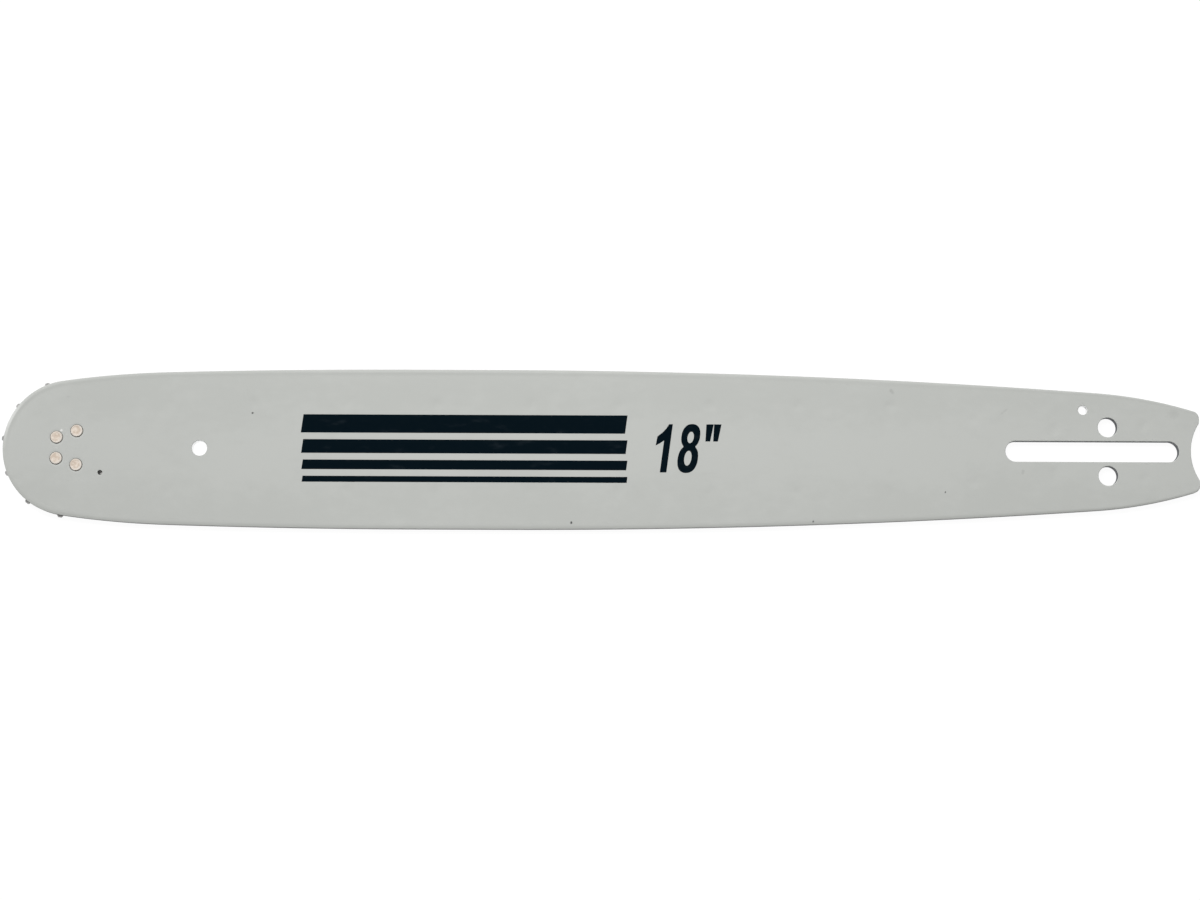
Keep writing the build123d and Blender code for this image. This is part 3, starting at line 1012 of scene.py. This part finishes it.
# %% Light
world_level = 0.22
key_strength, key_disc = 1.85, radians(30.0)
key_turn, key_height = radians(125.0), radians(33.0)
box_power = 2.75
box_place, box_size = Vector((-0.245, 0.25, 0.65)), (0.78, 0.14)  # metres

world = bpy.data.worlds.new("studio")
bpy.context.scene.world = world
world.use_nodes = True
studio = world.node_tree
levels = {"Value": seen_directly(studio), "To Min": world_level, "To Max": 1.0}
level = add_node(studio, "MapRange", levels)["Result"]
feed(studio, studio.nodes["Background"].inputs["Color"], (1, 1, 1))
feed(studio, studio.nodes["Background"].inputs["Strength"], level)


def add_lamp(name, kind, energy, source):
    """Lamp that shines from the direction of its source."""
    lamp = add_object(name, bpy.data.lights.new(name, kind))
    lamp.data.energy = energy
    lamp.rotation_euler = source.to_track_quat("Z", "Y").to_euler()
    return lamp


key_source = Vector((cos(key_turn) * cos(key_height), sin(key_turn) * cos(key_height), sin(key_height)))
key = add_lamp("key_light", "SUN", key_strength, key_source)
key.data.angle = key_disc
soft_box = add_lamp("soft_box", "AREA", box_power, Vector((0, *box_place.yz)))
soft_box.location = box_place
soft_box.data.shape = "RECTANGLE"
soft_box.data.size, soft_box.data.size_y = box_size
print(f"world {world_level}, key light {key_strength} W/m2 from {degrees(key_height):.0f} degrees up")

# %% [markdown]
# ## Camera
# The bar was photographed from about a metre, almost straight above: the right walls of the tail holes
# show, and a thin line of the slot's upper wall. A shifted lens could show them too, but a plain camera
# that leans a little is easier to use again. Its field of view follows from the photograph's scale.

# %% Camera
frame_width = 1200  # pixels
photo_scale = 2.3015  # pixels for a millimetre of the painted face
camera_distance = 1170.0
camera_tilt, camera_roll = radians(6.5), radians(0.23)
aim_shift = (-0.48, -0.17)  # millimetres on the face

target = Vector(((plate_low[0] + tail_x) / 2 + aim_shift[0], aim_shift[1], bar_top)) * MM
camera = add_object("camera", bpy.data.cameras.new("camera"))
camera.data.sensor_fit = "HORIZONTAL"
camera.data.angle = 2 * atan2(frame_width / 2, photo_scale * camera_distance)
camera.location = target + Vector((0.0, -sin(camera_tilt), cos(camera_tilt))) * camera_distance * MM
tilt, roll = Euler((camera_tilt, 0, 0)).to_matrix(), Euler((0, 0, camera_roll)).to_matrix()
camera.rotation_euler = (tilt @ roll).to_euler()
bpy.context.scene.camera = camera
bpy.context.scene.view_settings.view_transform = "Standard"
print(f"camera {camera_distance:.0f} mm away, field of view {degrees(camera.data.angle):.1f} degrees")

visual_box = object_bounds()
moved = [[round((b - a) / MM, 3) for a, b in zip(*corners)] for corners in zip(cad_box, visual_box)]
print("box of the dressed bar less the CAD box, mm:", moved)
